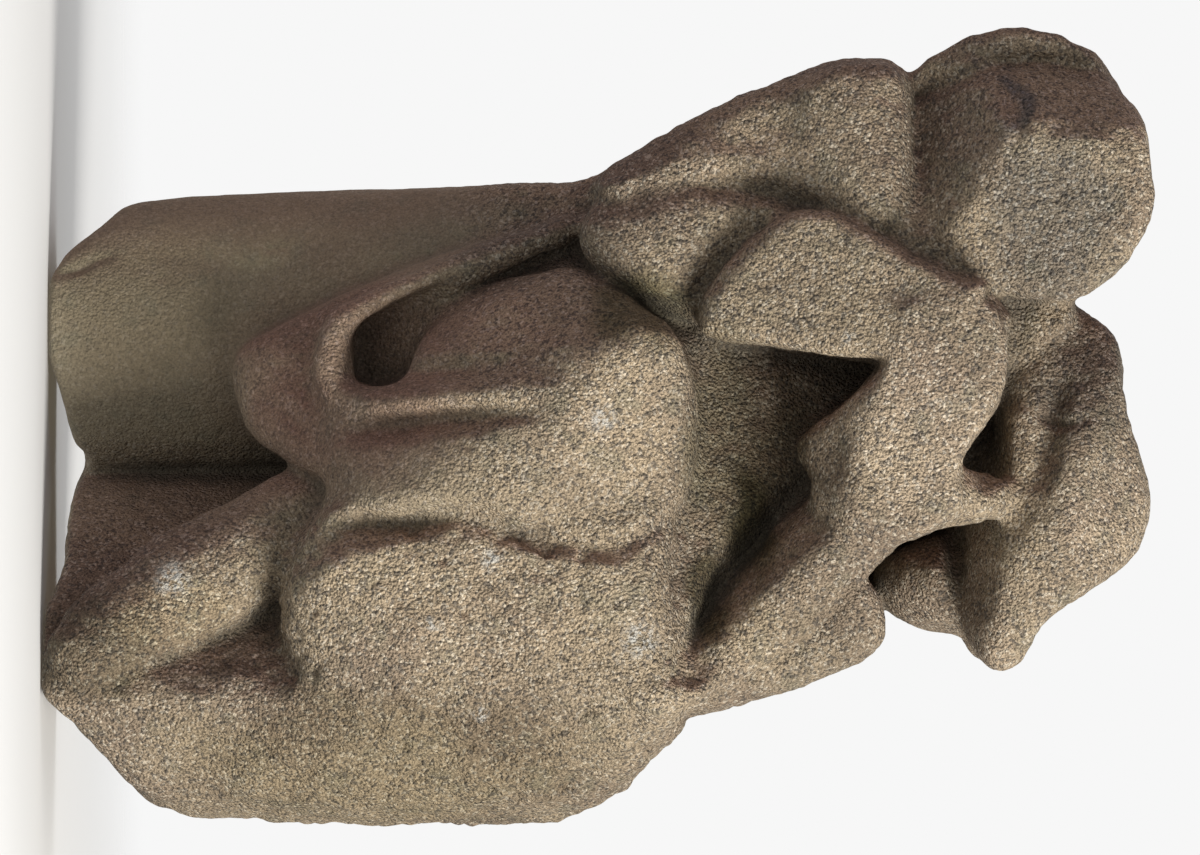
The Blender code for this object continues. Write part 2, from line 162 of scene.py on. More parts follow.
class Clay:
    """The stone while it is modelled: the signed distance at each point of a grid."""

    def __init__(self, step):
        self.step = step
        side = DRAWN_WIDTH / 2 + MARGIN
        self.low = np.array((-side, BACK - MARGIN, -MARGIN))
        high = (side, DRAWN_FRONT + MARGIN, DRAWN_HEIGHT + 2 * MARGIN)
        axes = [np.arange(start, end, step) for start, end in zip(self.low, high)]
        self.points = np.meshgrid(*axes, indexing="ij", sparse=True)
        self.field = np.full([len(axis) for axis in axes], FAR)

    def add(self, form, blend=6.0):
        self.field = soft_min(self.field, form(*self.points), blend)

    def cut(self, form, blend=6.0):
        self.field = soft_max(self.field, -form(*self.points), blend)

    def stroke(self, *stops):
        """Raises a rounded ridge on the clay's front, or sinks a groove, along stops.

        Each stop is (across, up, half its width, how far it stands out, below zero for a groove).
        """
        for _ in range(2):
            cut = [stops[0]]
            for start, end in zip(stops, stops[1:]):
                cut += [tuple(0.75 * s + 0.25 * e for s, e in zip(start, end)),
                        tuple(0.25 * s + 0.75 * e for s, e in zip(start, end))]
            stops = cut + [stops[-1]]
        across, up = self.points[0][:, 0], self.points[2][0]
        lift = np.zeros(np.broadcast(across, up).shape)
        for (a0, u0, w0, h0), (a1, u1, w1, h1) in zip(stops, stops[1:]):
            run, climb = a1 - a0, u1 - u0
            share = np.clip(((across - a0) * run + (up - u0) * climb) / (run * run + climb * climb), 0, 1)
            gap = np.hypot(across - a0 - share * run, up - u0 - share * climb) / (w0 + share * (w1 - w0))
            height = h0 + share * (h1 - h0)
            height = height * (1 - np.minimum(gap, 1) ** 2) ** np.where(height > 0, 0.9, 2)
            lift = np.where(np.abs(height) > np.abs(lift), height, lift)
        self.press(lift)

    def press(self, lift):
        """Moves the clay towards the viewer by lift, a map of the front view."""
        layers = self.field.shape[1]
        place = np.clip(np.arange(layers)[None, :, None] - lift[:, None, :] / self.step, 0, layers - 1.001)
        cell = place.astype(int)
        share = place - cell
        near = np.take_along_axis(self.field, cell, axis=1)
        self.field = near + share * (np.take_along_axis(self.field, cell + 1, axis=1) - near)


BLOCK = [
    (-118, 44), (-101, 27), (-91, 12), (-76, 3), (-57, -4), (-36, 3), (-20, 8), (5, 14), (15, 23), (30, 14),
    (48, 11), (66, 13), (80, 8), (94, 0), (110, -4), (125, -1), (138, 8), (146, 19), (160, 32), (175, 44),
    (190, 60), (197, 82), (194, 105), (196, 125), (198, 180), (197, 255), (184, 281), (168, 300), (151, 318),
    (136, 330), (116, 345), (60, 400), (-100, 400), (-125, 278), (-121, 180),
]
CORE = [
    (-118, 60), (-124, 275), (-138, 300), (-156, 330), (-178, 400), (-180, 430), (-176, 450), (-190, 475),
    (-190, 500), (-176, 522), (-160, 540), (-112, 550), (-84, 542), (-66, 512), (-56, 532), (-36, 536),
    (30, 550), (54, 545), (90, 500), (106, 480), (84, 452), (92, 410), (116, 372), (130, 338), (148, 316),
    (172, 284), (188, 250), (186, 90), (120, 20), (-80, 20),
]


def model_block(clay):
    """The shaft on the left, flaring into the bell, and the wedge whose edge the foot stands on."""

    def flaring_shaft(across, out, up):
        rise = np.clip((up - 110) / 190, 0, 1)
        return np.hypot((across + 50) / 78, (out + 62) / 82) * 80 - 80 - 48 * rise * rise

    clay.add(slab(CORE, ((0, -30, 0), (0, 1, 0)), blend=6), 0)
    clay.add(shared(silhouette(BLOCK), flaring_shaft, plane((0, 0, 340), (0, 0, 1)), blend=4), 4)
    wedge = [(10, -25), (124, 122), (146, 116), (200, 60), (200, BACK - 60), (10, BACK - 60)]
    clay.add(shared(silhouette(BLOCK), footprint(wedge), plane((0, 0, 300), (0, 0, 1)), blend=6), 4)


def model_recess(clay):
    """The floor of the hollow between the knee, the arms and the second figure, and the neck above it."""
    floor = [
        (-90, 270), (-80, 330), (-60, 400), (-20, 440), (60, 430), (136, 334), (142, 290), (60, 280),
    ]
    clay.add(slab(floor, ((0, 82, 330), (-0.36, 1, 0.3))), 6)
    neck = [
        (-90, 440), (-90, 500), (-66, 514), (-54, 518), (-42, 500), (-28, 480), (-24, 440), (-50, 420),
    ]
    clay.add(slab(neck, ((-45, 86, 495), (-0.1, 1, -0.2))), 8)
    clay.stroke((20, 390, 9, 0), (44, 370, 16, -14), (72, 350, 19, -24), (96, 335, 19, -26),
                (114, 326, 13, -10), (126, 322, 9, 0))


def model_broken_mass(clay):
    """The second figure's lower body, broken back to a rough boss under the knee."""
    outline = [
        (84, 123), (70, 122), (50, 135), (24, 150), (16, 200), (20, 296), (40, 314), (70, 315), (100, 317),
        (126, 321), (148, 323), (166, 302), (182, 281), (195, 255), (198, 180), (196, 120), (180, 90),
        (140, 104), (124, 131), (114, 128), (100, 122),
    ]
    plan = [
        (10, BACK), (16, 96), (28, 124), (42, 140), (60, 147), (92, 147), (124, 139), (148, 122),
        (170, 102), (200, 66), (200, BACK),
    ]
    worn_top = plane((90, 148, 300), (0.1, 1, 0.8))
    worn_left = plane((60, 138, 134), (-0.4, 1, -1.6))
    worn_corner = plane((130, 127, 130), (0.3, 1, -0.4))
    front = shared(footprint(plan), worn_top, worn_left, worn_corner, blend=14)
    clay.add(shared(silhouette(outline), front, blend=18), 8)
    clay.stroke((72, 130, 7, 0), (58, 142, 11, -10), (48, 156, 12, -14), (46, 182, 11, -14),
                (40, 207, 10, -12), (44, 224, 9, -9), (52, 242, 9, -8), (58, 265, 9, -8), (58, 290, 9, -7),
                (48, 310, 8, -6), (34, 326, 7, 0))
    clay.stroke((72, 268, 8, 0), (66, 262, 12, -2), (78, 210, 12, -2), (92, 190, 8, 0))


def model_leg(clay):
    """The bare leg under the hem, down to the foot at the wedge's edge."""
    clay.add(limb((28, 56, 168, 29), (56, 71, 118, 29), (80, 89, 72, 29), (104, 104, 34, 24),
                  (111, 110, 25, 20)), 6)


def model_tunic(clay):
    """The cloth from the hem up over the thigh and knee, and the pocket that its fold makes."""
    skirt = [
        (-92, 276), (-60, 268), (-20, 256), (30, 250), (50, 246), (42, 206), (47, 170), (53, 148), (68, 132),
        (80, 121), (72, 118), (58, 138), (38, 149), (25, 143), (17, 126), (5, 106), (-15, 97), (-38, 95),
        (-52, 118), (-70, 155), (-90, 205), (-104, 255),
    ]
    hem_panel, thigh = ((-30, 98, 240), (-0.8, 1, -0.22)), ((-20, 172, 255), (0.4, 1, 0.1))
    lip = ((40, 128, 160), (0.0, 1, -1.1))
    clay.add(slab(skirt, hem_panel, thigh, lip, blend=20, edge=9), 4)
    knee = [
        (-76, 235), (-82, 268), (-74, 284), (-62, 300), (-52, 314), (-30, 326), (0, 328), (28, 325),
        (48, 311), (58, 282), (52, 250), (44, 208), (46, 160), (0, 140), (-40, 150), (-60, 190),
    ]
    pillow, thigh = ((-20, 172, 255), (-0.24, 1, -0.33)), ((-20, 172, 255), (0.4, 1, 0.17))
    pillow_side, top = ((-56, 130, 262), (-1.3, 1, -0.45)), ((-60, 172, 297), (0.3, 1, 0.5))
    falling_to_hem = ((0, 146, 200), (-0.6, 1, -0.65))
    clay.add(slab(knee, pillow, thigh, pillow_side, top, falling_to_hem, blend=24, edge=13), 10)
    rim = [
        (-110, 272), (-100, 242), (-84, 200), (-66, 158), (-60, 146), (-50, 140), (-28, 137), (-14, 142),
        (-7, 156), (-6, 180), (-20, 182), (-21, 166), (-25, 158), (-34, 156), (-46, 158), (-52, 166),
        (-64, 196), (-82, 236), (-96, 272),
    ]
    clay.add(slab(rim, ((-54, 97, 160), (-0.16, 1, 0.19)), blend=9, edge=11), 6)
    clay.stroke((-19, 150, 8, 0), (-15, 164, 9, 10), (-16, 190, 9, 9), (-19, 220, 8, 6),
                (-21, 250, 7, 2), (-23, 262, 6, 0))
    clay.stroke((-86, 266, 8, 0), (-78, 246, 9, -5), (-66, 220, 10, -10), (-55, 198, 12, -13),
                (-44, 178, 9, 0))
    clay.stroke((-26, 178, 7, 0), (-28, 196, 8, -6), (-31, 215, 8, -5), (-35, 240, 6, 0))
    pocket = [
        (-56, 163), (-51, 158), (-44, 157), (-28, 157), (-23, 159), (-22, 165), (-22, 178), (-28, 185),
        (-45, 190), (-60, 204), (-78, 228), (-84, 226), (-70, 190),
    ]
    clay.cut(shared(silhouette(pocket), plane((-40, 62, 168), (0.1, -1, 0.55)), blend=6), 5)
    clay.stroke((4, 146, 8, 0), (0, 165, 9, -7), (-4, 195, 9, -9), (-7, 228, 9, -7), (-13, 255, 8, 0))
    clay.stroke((-42, 100, 5, 0), (-18, 100, 6, 0), (-14, 118, 5, -3), (2, 136, 6, -3), (18, 150, 6, 0))


def model_first_figure(clay):
    """The figure on the left: its shoulder and wide sleeve, the raised forearm and the hand."""
    chest = [
        (-124, 275), (-140, 303), (-157, 332), (-172, 365), (-182, 398), (-183, 428), (-172, 434),
        (-140, 434), (-110, 440), (-86, 452), (-68, 474), (-50, 490), (-30, 440), (-50, 330), (-70, 300),
    ]
    facets = ((-82, 122, 425), (-0.4, 1, 0.05)), ((-110, 92, 330), (-0.1, 1, -0.25))
    clay.add(slab(chest, *facets, blend=14), 6)
    shoulder = [
        (-176, 382), (-183, 405), (-182, 428), (-168, 434), (-130, 432), (-100, 424), (-96, 400),
        (-108, 376), (-140, 370),
    ]
    facets = ((-145, 112, 410), (-0.3, 1, 0.1)), ((-140, 110, 395), (0.0, 1, -0.6))
    clay.add(slab(shoulder, *facets, blend=12), 8)
    upper_sleeve = [
        (-122, 275), (-138, 300), (-156, 330), (-171, 365), (-181, 395), (-182, 412), (-168, 416),
        (-120, 412), (-112, 395), (-115, 375), (-120, 340), (-118, 310), (-112, 285),
    ]
    clay.add(slab(upper_sleeve, ((-140, 98, 380), (-0.45, 1, -0.05)), blend=20), 6)
    lower_roll = [
        (-96, 268), (-113, 276), (-123, 303), (-122, 345), (-112, 386), (-100, 384), (-90, 354),
        (-66, 334), (-56, 320), (-66, 298), (-80, 278),
    ]
    facets = ((-92, 112, 315), (-0.35, 1, -0.1)), ((-90, 112, 320), (0.5, 1, 0.35))
    clay.add(slab(lower_roll, *facets, blend=20), 4)
    clay.stroke((-124, 322, 6, 0), (-123, 340, 8, -4), (-119, 365, 9, -8), (-111, 386, 8, -10),
                (-103, 396, 6, 0))
    clay.stroke((-78, 272, 7, -4), (-70, 282, 10, -8), (-62, 300, 11, -9), (-54, 322, 10, -7),
                (-48, 334, 7, 0))
    arms_back = plane((0, 30, 0), (0, -1, 0))
    forearm = [
        (-62, 328), (-46, 330), (-42, 365), (-36, 400), (-34, 430), (-72, 478), (-74, 460), (-95, 420),
        (-109, 395), (-111, 376), (-90, 350),
    ]
    clay.add(shared(slab(forearm, ((-70, 134, 390), (-0.12, 1, -0.2)), blend=10), arms_back), 3)
    hand = [
        (-66, 425), (-66, 472), (-48, 482), (-22, 481), (-4, 472), (14, 459), (25, 457), (36, 462),
        (52, 442), (56, 420), (46, 398), (38, 384), (26, 386), (10, 378), (1, 382), (-16, 405), (-36, 424),
    ]
    facets = ((-14, 143, 450), (0.1, 1, 0.06)), ((10, 138, 405), (-0.2, 1, -1.2))
    clay.add(shared(slab(hand, *facets, blend=8), arms_back), 3)


def model_head(clay):
    """The first figure's head: a roll of hair behind it and the face broken off flat."""
    outline = [
        (-170, 431), (-186, 451), (-195, 474), (-197, 500), (-189, 525), (-178, 532), (-163, 545),
        (-148, 552), (-125, 553), (-110, 556), (-96, 549), (-82, 541), (-70, 528), (-64, 510), (-66, 480),
        (-78, 458), (-100, 432),
    ]
    underside = ((-112, 137, 474), (-0.55, 1, -1.07))
    top = ((-147, 134, 510), (-1.5, 1, 0.15))
    broken_face = ((-120, 126, 500), (0.2, 1, 0.0))
    clay.add(slab(outline, underside, top, broken_face, blend=9), 6)
    clay.add(limb((-170, 60, 432, 7), (-179, 64, 450, 9), (-188, 68, 468, 10), (-191, 72, 486, 10),
                  (-189, 72, 505, 10), (-182, 70, 522, 9), (-170, 66, 532, 7)), 3)
    clay.stroke((-164, 430, 6, -4), (-171, 450, 7, -6), (-178, 468, 7, -6), (-184, 484, 7, -6),
                (-184, 505, 7, -6), (-177, 524, 7, -5), (-162, 541, 6, -3))
    clay.stroke((-180, 480, 5, 0), (-166, 485, 6, -5), (-150, 489, 6, -5), (-138, 486, 5, 0))
    clay.stroke((-178, 495, 4, 0), (-165, 495, 5, 3), (-148, 495, 4, 0))
    clay.stroke((-146, 494, 5, 0), (-151, 512, 6, -3), (-148, 530, 6, -3), (-140, 546, 5, 0))


def model_second_figure(clay):
    """The figure on the right: its body, the arm raised to the hat and the head under the brim."""
    body = [
        (120, 318), (143, 326), (136, 352), (128, 382), (114, 412), (104, 422), (84, 420), (72, 410),
        (92, 388), (116, 352),
    ]
    clay.add(slab(body, ((105, 114, 385), (0.35, 1, 0.1)), blend=10), 5)
    arm = [
        (34, 410), (52, 432), (68, 415), (84, 404), (104, 382), (128, 352), (143, 328), (140, 318),
        (128, 315), (104, 322), (74, 346), (42, 374), (30, 388),
    ]
    faces = ((60, 130, 405), (0.35, 1, 0.15)), ((44, 129, 399), (-1.1, 1, -1.25))
    clay.add(slab(arm, *faces, blend=10), 4)
    clay.add(limb((34, 124, 412, 18), (33, 116, 444, 17), (33, 104, 466, 14), (34, 96, 478, 10)), 8)
    clay.add(egg((75, 0, 465), (28, 62, 48)), 4)


def model_hat(clay):
    """The broad hat: a crown above and a worn brim along its edge."""
    hat = [
        (-65, 510), (-57, 527), (-48, 537), (-35, 541), (-14, 541), (10, 549), (35, 556), (52, 552),
        (63, 547), (77, 529), (91, 506), (101, 498), (113, 491), (122, 481), (115, 471), (102, 462),
        (70, 455), (20, 455), (-20, 470), (-50, 490),
    ]
    under, under_brim = ((30, 114, 513), (-0.25, 1, -0.62)), ((30, 94, 482), (-0.3, 1, -2.2))
    above = ((30, 114, 513), (0.05, 1, 0.85))
    falling_left = ((0, 106, 518), (-0.55, 1, 0))
    falling_right = ((70, 108, 500), (0.35, 1, 0))
    clay.add(slab(hat, under, under_brim, above, falling_left, falling_right, blend=9), 5)
    clay.stroke((-24, 468, 8, -4), (-8, 473, 11, -16), (10, 476, 11, -18), (24, 472, 9, -8))
    clay.stroke((-24, 490, 7, 0), (-4, 486, 8, 4), (16, 483, 8, 4), (36, 482, 7, 0))
    clay.stroke((-32, 510, 8, 0), (-10, 506, 10, -9), (14, 502, 10, -10), (34, 498, 7, 0))
    clay.stroke((42, 462, 7, -6), (56, 459, 10, -18), (78, 460, 10, -14), (94, 464, 7, 0))


def skin(clay):
    """The clay's zero surface: a point in each cell that it crosses and a face across each crossed edge."""
    solid = clay.field < 0
    strides = np.array((solid.shape[1] * solid.shape[2], solid.shape[2], 1))
    totals = np.zeros((4, solid.size))
    rings = []
    for axis in range(3):
        unit = np.eye(3, dtype=int)[axis]
        crossed = np.argwhere(np.diff(solid, axis=axis))
        start, end = clay.field[tuple(crossed.T)], clay.field[tuple((crossed + unit).T)]
        places = crossed + unit * (start / (start - end))[:, None]
        side, other = np.roll(unit, 1), np.roll(unit, 2)
        around = (0 * unit, side, side + other, other)
        ring = np.stack([(crossed - back) @ strides for back in around], axis=1)
        ring[start >= 0] = ring[start >= 0][:, ::-1]
        rings.append(ring)
        for cells in ring.T:
            for row, weights in zip(totals, (*places.T, np.ones(len(places)))):
                row += np.bincount(cells, weights, solid.size)
    used = totals[3] > 0
    points = (totals[:3, used] / totals[3, used]).T * clay.step + clay.low
    return points, (np.cumsum(used) - 1)[np.concatenate(rings)]


def carve(step):
    """All of the stone's forms, put together in order and cut flat at its bed and back."""
    clay = Clay(step)
    model_block(clay)
    model_recess(clay)
    model_leg(clay)
    model_tunic(clay)
    model_broken_mass(clay)
    model_second_figure(clay)
    model_hat(clay)
    model_first_figure(clay)
    model_head(clay)
    clay.cut(plane((0, 0, DRAWN_BED), (0, 0, 1)), 0)
    clay.cut(plane((0, BACK, 0), (0, 1, 0)), 0)
    return clay


def read_at(grid, clay, points):
    """A grid of the clay's size, read between its cells at drawn points."""
    place = np.clip((points - clay.low) / clay.step, 0, np.array(grid.shape) - 1.001)
    cell = place.astype(int)
    share = place - cell
    total = np.zeros(len(points))
    for corner in np.ndindex(2, 2, 2):
        weight = np.where(corner, share, 1 - share).prod(axis=1)
        total += weight * grid[tuple((cell + corner).T)]
    return total


def blurred(grid, reach):
    """The grid with each cell averaged three times over reach cells to each side of it."""
    for axis in (0, 1, 2) * 3:
        ends = [(0, 0)] * 3
        ends[axis] = (reach + 1, reach)
        sums = np.cumsum(np.pad(grid, ends, mode="edge"), axis=axis)
        high = np.take(sums, np.arange(2 * reach + 1, sums.shape[axis]), axis=axis)
        low = np.take(sums, np.arange(0, sums.shape[axis] - 2 * reach - 1), axis=axis)
        grid = (high - low) / (2 * reach + 1)
    return grid


def lumps(points, size, seed):
    """Smooth random relief between about -1 and 1, with lumps of about this size."""
    lattice = np.random.default_rng(seed).uniform(-1, 1, (LATTICE, LATTICE, LATTICE))
    place = points @ TURNED / size
    cell = np.floor(place).astype(int)
    share = place - cell
    share = share * share * (3 - 2 * share)
    total = np.zeros(len(points))
    for corner in np.ndindex(2, 2, 2):
        weight = np.where(corner, share, 1 - share).prod(axis=1)
        total += weight * lattice[tuple((cell + corner).T % LATTICE)]
    return total


def step_up(value, low, high):
    """0 up to low, 1 from high on, and a smooth rise between them."""
    share = np.clip((value - low) / (high - low), 0, 1)
    return share * share * (3 - 2 * share)


LATTICE = 48
TURNED = np.array(Matrix.Rotation(0.7, 3, "X") @ Matrix.Rotation(0.5, 3, "Y") @ Matrix.Rotation(0.3, 3, "Z"))

CRACKS = (
    ((-79, 9), (-81, 18), (-86, 27), (-88, 34)),
    ((70, 409), (97, 392), (117, 366), (126, 352)),
    ((-8, 498), (-2, 508), (-6, 522)),
    ((-128, 505), (-120, 512), (-113, 507)),
)


def scored(points, lines, reach=3.6, depth=2.2):
    """How deep the worn cracks are at each point. A line is a row of (across, up) on the front."""
    across, out, up = points.T
    found = np.zeros(len(points))
    for line in lines:
        for (a0, u0), (a1, u1) in zip(line, line[1:]):
            run, climb = a1 - a0, u1 - u0
            along = (across - a0) * run + (up - u0) * climb
            share = np.clip(along / (run * run + climb * climb), 0, 1)
            gap = np.hypot(across - a0 - share * run, up - u0 - share * climb) / reach
            found = np.maximum(found, depth * np.maximum(1 - gap, 0))
    return found * step_up(out, 0, 20)


def pits(points, count, size, seed):
    """How deep the pits are at each point: round holes scattered over the skin."""
    picks = np.random.default_rng(seed)
    chosen = points[picks.integers(0, len(points), count)]
    radii = size * picks.uniform(0.5, 1.3, count)
    depth = np.zeros(len(points))
    order = np.argsort(points[:, 2])
    heights = points[order, 2]
    for centre, radius in zip(chosen, radii):
        first, last = np.searchsorted(heights, (centre[2] - radius, centre[2] + radius))
        near = order[first:last]
        gap = np.linalg.norm(points[near] - centre, axis=1) / radius
        depth[near] = np.maximum(depth[near], radius * step_up(1 - gap, 0, 0.8))
    return depth


def bossed(points):
    """Where the stone is the rough broken boss: 1 on it, fading to 0 around it."""
    across, up = points[:, 0], points[:, 2]
    return step_up(across, 30, 60) * step_up(340 - up, 0, 25) * step_up(up, 90, 130)


def planed(points):
    """Where the stone is smoother: 1 on the shaft's flank, and about half on the hem and wedge beside it."""
    across, out, up = points.T
    shaft = step_up(16 - across, 0, 16) * step_up(250 - up, 0, 60) * step_up(62 - out, 0, 25)
    beside = step_up(70 - across, 0, 40) * step_up(250 - up, 0, 60)
    return np.maximum(shaft, 0.55 * beside)


def skin_object(clay):
    """The clay's skin as a fine closed mesh over the CAD solid's place."""
    points, faces = skin(clay)
    middle = (points.min(axis=0) + points.max(axis=0)) / 2
    middle[2] = DRAWN_BED
    mesh = bpy.data.meshes.new("stone_skin")
    mesh.from_pydata(((points - middle) * TO_METRES).tolist(), [], faces.tolist())
    stone = bpy.data.objects.new("stone_skin", mesh)
    bpy.context.scene.collection.objects.link(stone)
    whole = stone.modifiers.new("one_skin", "REMESH")
    whole.mode = "VOXEL"
    whole.voxel_size = SKIN_STEP * SCALE
    eased_skin = stone.modifiers.new("eased", "SMOOTH")
    eased_skin.iterations = 4
    applied(stone)
    return stone, middle


def applied(stone):
    """Puts what the object's modifiers make into its mesh."""
    mesh = bpy.data.meshes.new_from_object(stone.evaluated_get(bpy.context.evaluated_depsgraph_get()))
    stone.modifiers.clear()
    stone.data = mesh


def triples(rows, name):
    """The named value of each row, three numbers each: vertices' places or normals."""
    flat = np.empty(3 * len(rows), np.float32)
    rows.foreach_get(name, flat)
    return flat.reshape(-1, 3)


WAVES = ((1.1, 19, 1), (0.75, 9, 2), (0.6, 4.6, 3))
PIT_COUNT, PIT_SIZE, PIT_SEED = 1100, 3.0, 5


def roughen(stone, middle):
    """Moves the skin in and out: worn waves, each (height, size, seed), pits and cracks."""
    mesh = stone.data
    places = triples(mesh.vertices, "co").astype(float)
    normals = triples(mesh.vertex_normals, "vector").astype(float)
    points = places / TO_METRES + middle
    boss, flank = bossed(points), planed(points)
    rough = 1 + 0.8 * boss - 0.75 * flank
    move = rough * sum(height * lumps(points, size, seed) for height, size, seed in WAVES)
    move -= 0.6 * pits(points, PIT_COUNT, PIT_SIZE, PIT_SEED) * (0.3 + 0.7 * boss)
    move -= scored(points, CRACKS)
    shown = step_up(points[:, 1] - BACK, 1, 8) * step_up(points[:, 2] - DRAWN_BED, 0.5, 5)
    places += normals * (move * shown * SCALE)[:, None]
    places[:, 2] = np.maximum(places[:, 2], 0)
    mesh.vertices.foreach_set("co", places.astype(np.float32).ravel())
    thin = stone.modifiers.new("fewer_faces", "DECIMATE")
    thin.ratio = min(1, TRIANGLES / (2 * len(mesh.polygons)))
    applied(stone)
    stone.data.shade_smooth()


# Colour patches, each (name, across, up, half its width, half its height, colour): some are the stone's own
# tones, some painted shade and some painted light.
STAINS_PAINTED_LIGHT_AND_SHADE = (
    ("lower boss, greener and darker", 165, 175, 48, 140, (0.79, 0.78, 0.72)),
    ("foot and the wedge's edge", 106, 30, 34, 44, (0.68, 0.68, 0.64)),
    ("broken face, greyer", -105, 506, 56, 46, (0.72, 0.76, 0.82)),
    # painted shade in the recess
    ("recess", 5, 342, 70, 26, (0.64, 0.66, 0.62)),
    # painted shade on the hat's side that faces away from the light
    ("hat's side, painted shade", -22, 520, 42, 30, (0.62, 0.62, 0.64)),
    ("under the head", -150, 462, 34, 30, (0.95, 0.92, 0.95)),
    ("dark vein on the head", -165, 487, 22, 7, (0.52, 0.58, 0.70)),
    # painted light on the lit hand
    ("hand, painted light", 0, 438, 52, 48, (1.22, 1.22, 1.24)),
    # painted light on the lit upper boss
    ("upper boss, painted light", 85, 215, 50, 110, (1.20, 1.20, 1.19)),
    # painted shade on the body behind the raised arm
    ("body behind the raised arm, painted shade", 105, 392, 26, 34, (0.80, 0.80, 0.80)),
    # moss-green tint and painted shade in the crevice under the sleeve
    ("moss tint and painted shade under the sleeve", -60, 300, 22, 34, (0.50, 0.53, 0.44)),
    # painted light on the lit knee
    ("knee, painted light", -8, 290, 52, 36, (1.16, 1.15, 1.14)),
    # painted light on the shaft's upper edge
    ("shaft's upper edge, painted light", -99, 92, 22, 70, (1.36, 1.42, 1.34)),
    ("shaft's front, darker", -60, 48, 54, 58, (0.80, 0.78, 0.76)),
    ("shaft below the shoulder", -103, 215, 20, 62, (0.86, 0.90, 0.92)),
    ("hem and its rim, redder", -22, 152, 74, 84, (0.96, 0.84, 0.86)),
    ("hem beside the pocket, redder", -6, 124, 28, 30, (0.92, 0.84, 0.86)),
    # painted shadow cast by the raised arm onto the wedge beside it
    ("painted shadow of the raised arm, upper part", 10, 374, 30, 22, (0.62, 0.62, 0.56)),
    ("painted shadow of the raised arm, middle", 46, 356, 34, 21, (0.27, 0.27, 0.20)),
    ("painted shadow of the raised arm, lower part", 86, 337, 28, 14, (0.36, 0.36, 0.30)),
    # painted light on the hat's lit front
    ("hat's front, painted light", 45, 532, 32, 26, (1.15, 1.14, 1.15)),
    # painted light on the lit leg
    ("leg, painted light", 94, 68, 24, 30, (1.18, 1.18, 1.09)),
    # painted light on the shoulder's edge
    ("shoulder's edge, painted light", -137, 355, 22, 36, (1.14, 1.12, 1.12)),
    # painted light on the lit raised arm
    ("raised arm, painted light", 100, 358, 24, 32, (1.12, 1.12, 1.10)),
    # painted light on the crest of the tunic's fold
    ("tunic's fold, painted light", -47, 230, 22, 38, (1.12, 1.08, 1.08)),
)
# Places where the painted shade in the hollows is weakened, each (across, up, half its width, half its
# height).
SHADE_LIFTED_PLACES = ((62, 283, 20, 44), (-130, 438, 44, 20))
CHALK_SPOTS = (
    (-6, 281, 9), (64, 226, 7), (104, 300, 12), (74, 68, 12), (96, 196, 5), (141, 221, 5), (-46, 402, 4),
)
# painted shade: the side that faces left, away from the light, made darker and redder
LEFT_SIDE_PAINTED_SHADE = (0.90, 0.74, 0.78)
RAGGED = 9


def within(across, up, middle, height, reach, rise):
    """How far inside an ellipse each point is: 1 in its middle, 0 on its edge and below 0 beyond."""
    return 1 - np.hypot((across - middle) / reach, (up - height) / rise)


def stain_and_painted_light_colours(points, normals):
    """What the stone's colour is multiplied by: painted shade, darker and redder, where it faces left, and
    ragged patches, some of them the stone's own tones, some painted shade and some painted light.

    A patch is (name, across, up, half its width, half its height, colour).
    """
    across, out, up = points.T
    across, up = across + RAGGED * lumps(points, 22, 11), up + RAGGED * lumps(points, 22, 12)
    colours = np.ones((len(points), 3))
    # painted shade on the left-facing side
    left_side_painted_shade = step_up(-normals[:, 0], 0.18, 0.80)
    colours *= 1 - left_side_painted_shade[:, None] * (1 - np.array(LEFT_SIDE_PAINTED_SHADE))
    for _, *place, colour in STAINS_PAINTED_LIGHT_AND_SHADE:
        share = step_up(within(across, up, *place), 0, 0.55) * step_up(out, -20, 20)
        colours *= 1 - share[:, None] * (1 - np.array(colour))
    return colours


def shade_lifted(points):
    """Where the painted shade in a crease is weakened: 1 in the middle of such a place."""
    found = np.zeros(len(points))
    for place in SHADE_LIFTED_PLACES:
        found = np.maximum(found, step_up(within(points[:, 0], points[:, 2], *place), 0, 0.4))
    return found


def chalk(points):
    """Where chalky white is rubbed into the stone: 1 in a spot's middle."""
    across, out, up = points.T
    found = np.zeros(len(points))
    for middle, height, reach in CHALK_SPOTS:
        gap = np.hypot(across - middle, up - height) / reach
        found = np.maximum(found, step_up(1 - gap, 0, 0.8) * step_up(out, 20, 40))
    return found


def write_weathering_and_painted_light(stone, clay, middle):
    """Writes down at each vertex what the material needs to know of its place, also what it paints shade and
    light by.
    """
    mesh = stone.data
    points = triples(mesh.vertices, "co").astype(float) / TO_METRES + middle
    solid = (clay.field < 0).astype(float)
    near, wide = (read_at(blurred(solid, reach), clay, points) for reach in (2, 7))
    # hollow is how deep a point lies in a hollow: the material paints shade by it in the hollows and light
    # on the ridges.
    hollow = 0.5 * (near + wide) - 0.5
    hollow *= 1 - 0.75 * shade_lifted(points)
    for name, values in (("hollow", hollow), ("flank", planed(points)), ("chalk", chalk(points))):
        written = mesh.attributes.new(name, "FLOAT", "POINT")
        written.data.foreach_set("value", values.astype(np.float32))
    # colour patches per vertex, with painted shade and painted light among them
    stains_and_painted_light = np.ones((len(points), 4), np.float32)
    stains_and_painted_light[:, :3] = stain_and_painted_light_colours(points, triples(mesh.vertex_normals, "vector"))
    mesh.attributes.new("stain_and_painted_light", "FLOAT_COLOR", "POINT").data.foreach_set("color", stains_and_painted_light.ravel())


MIX_FACTOR, MIX_A, MIX_B, MIX_RESULT = 0, 6, 7, 2


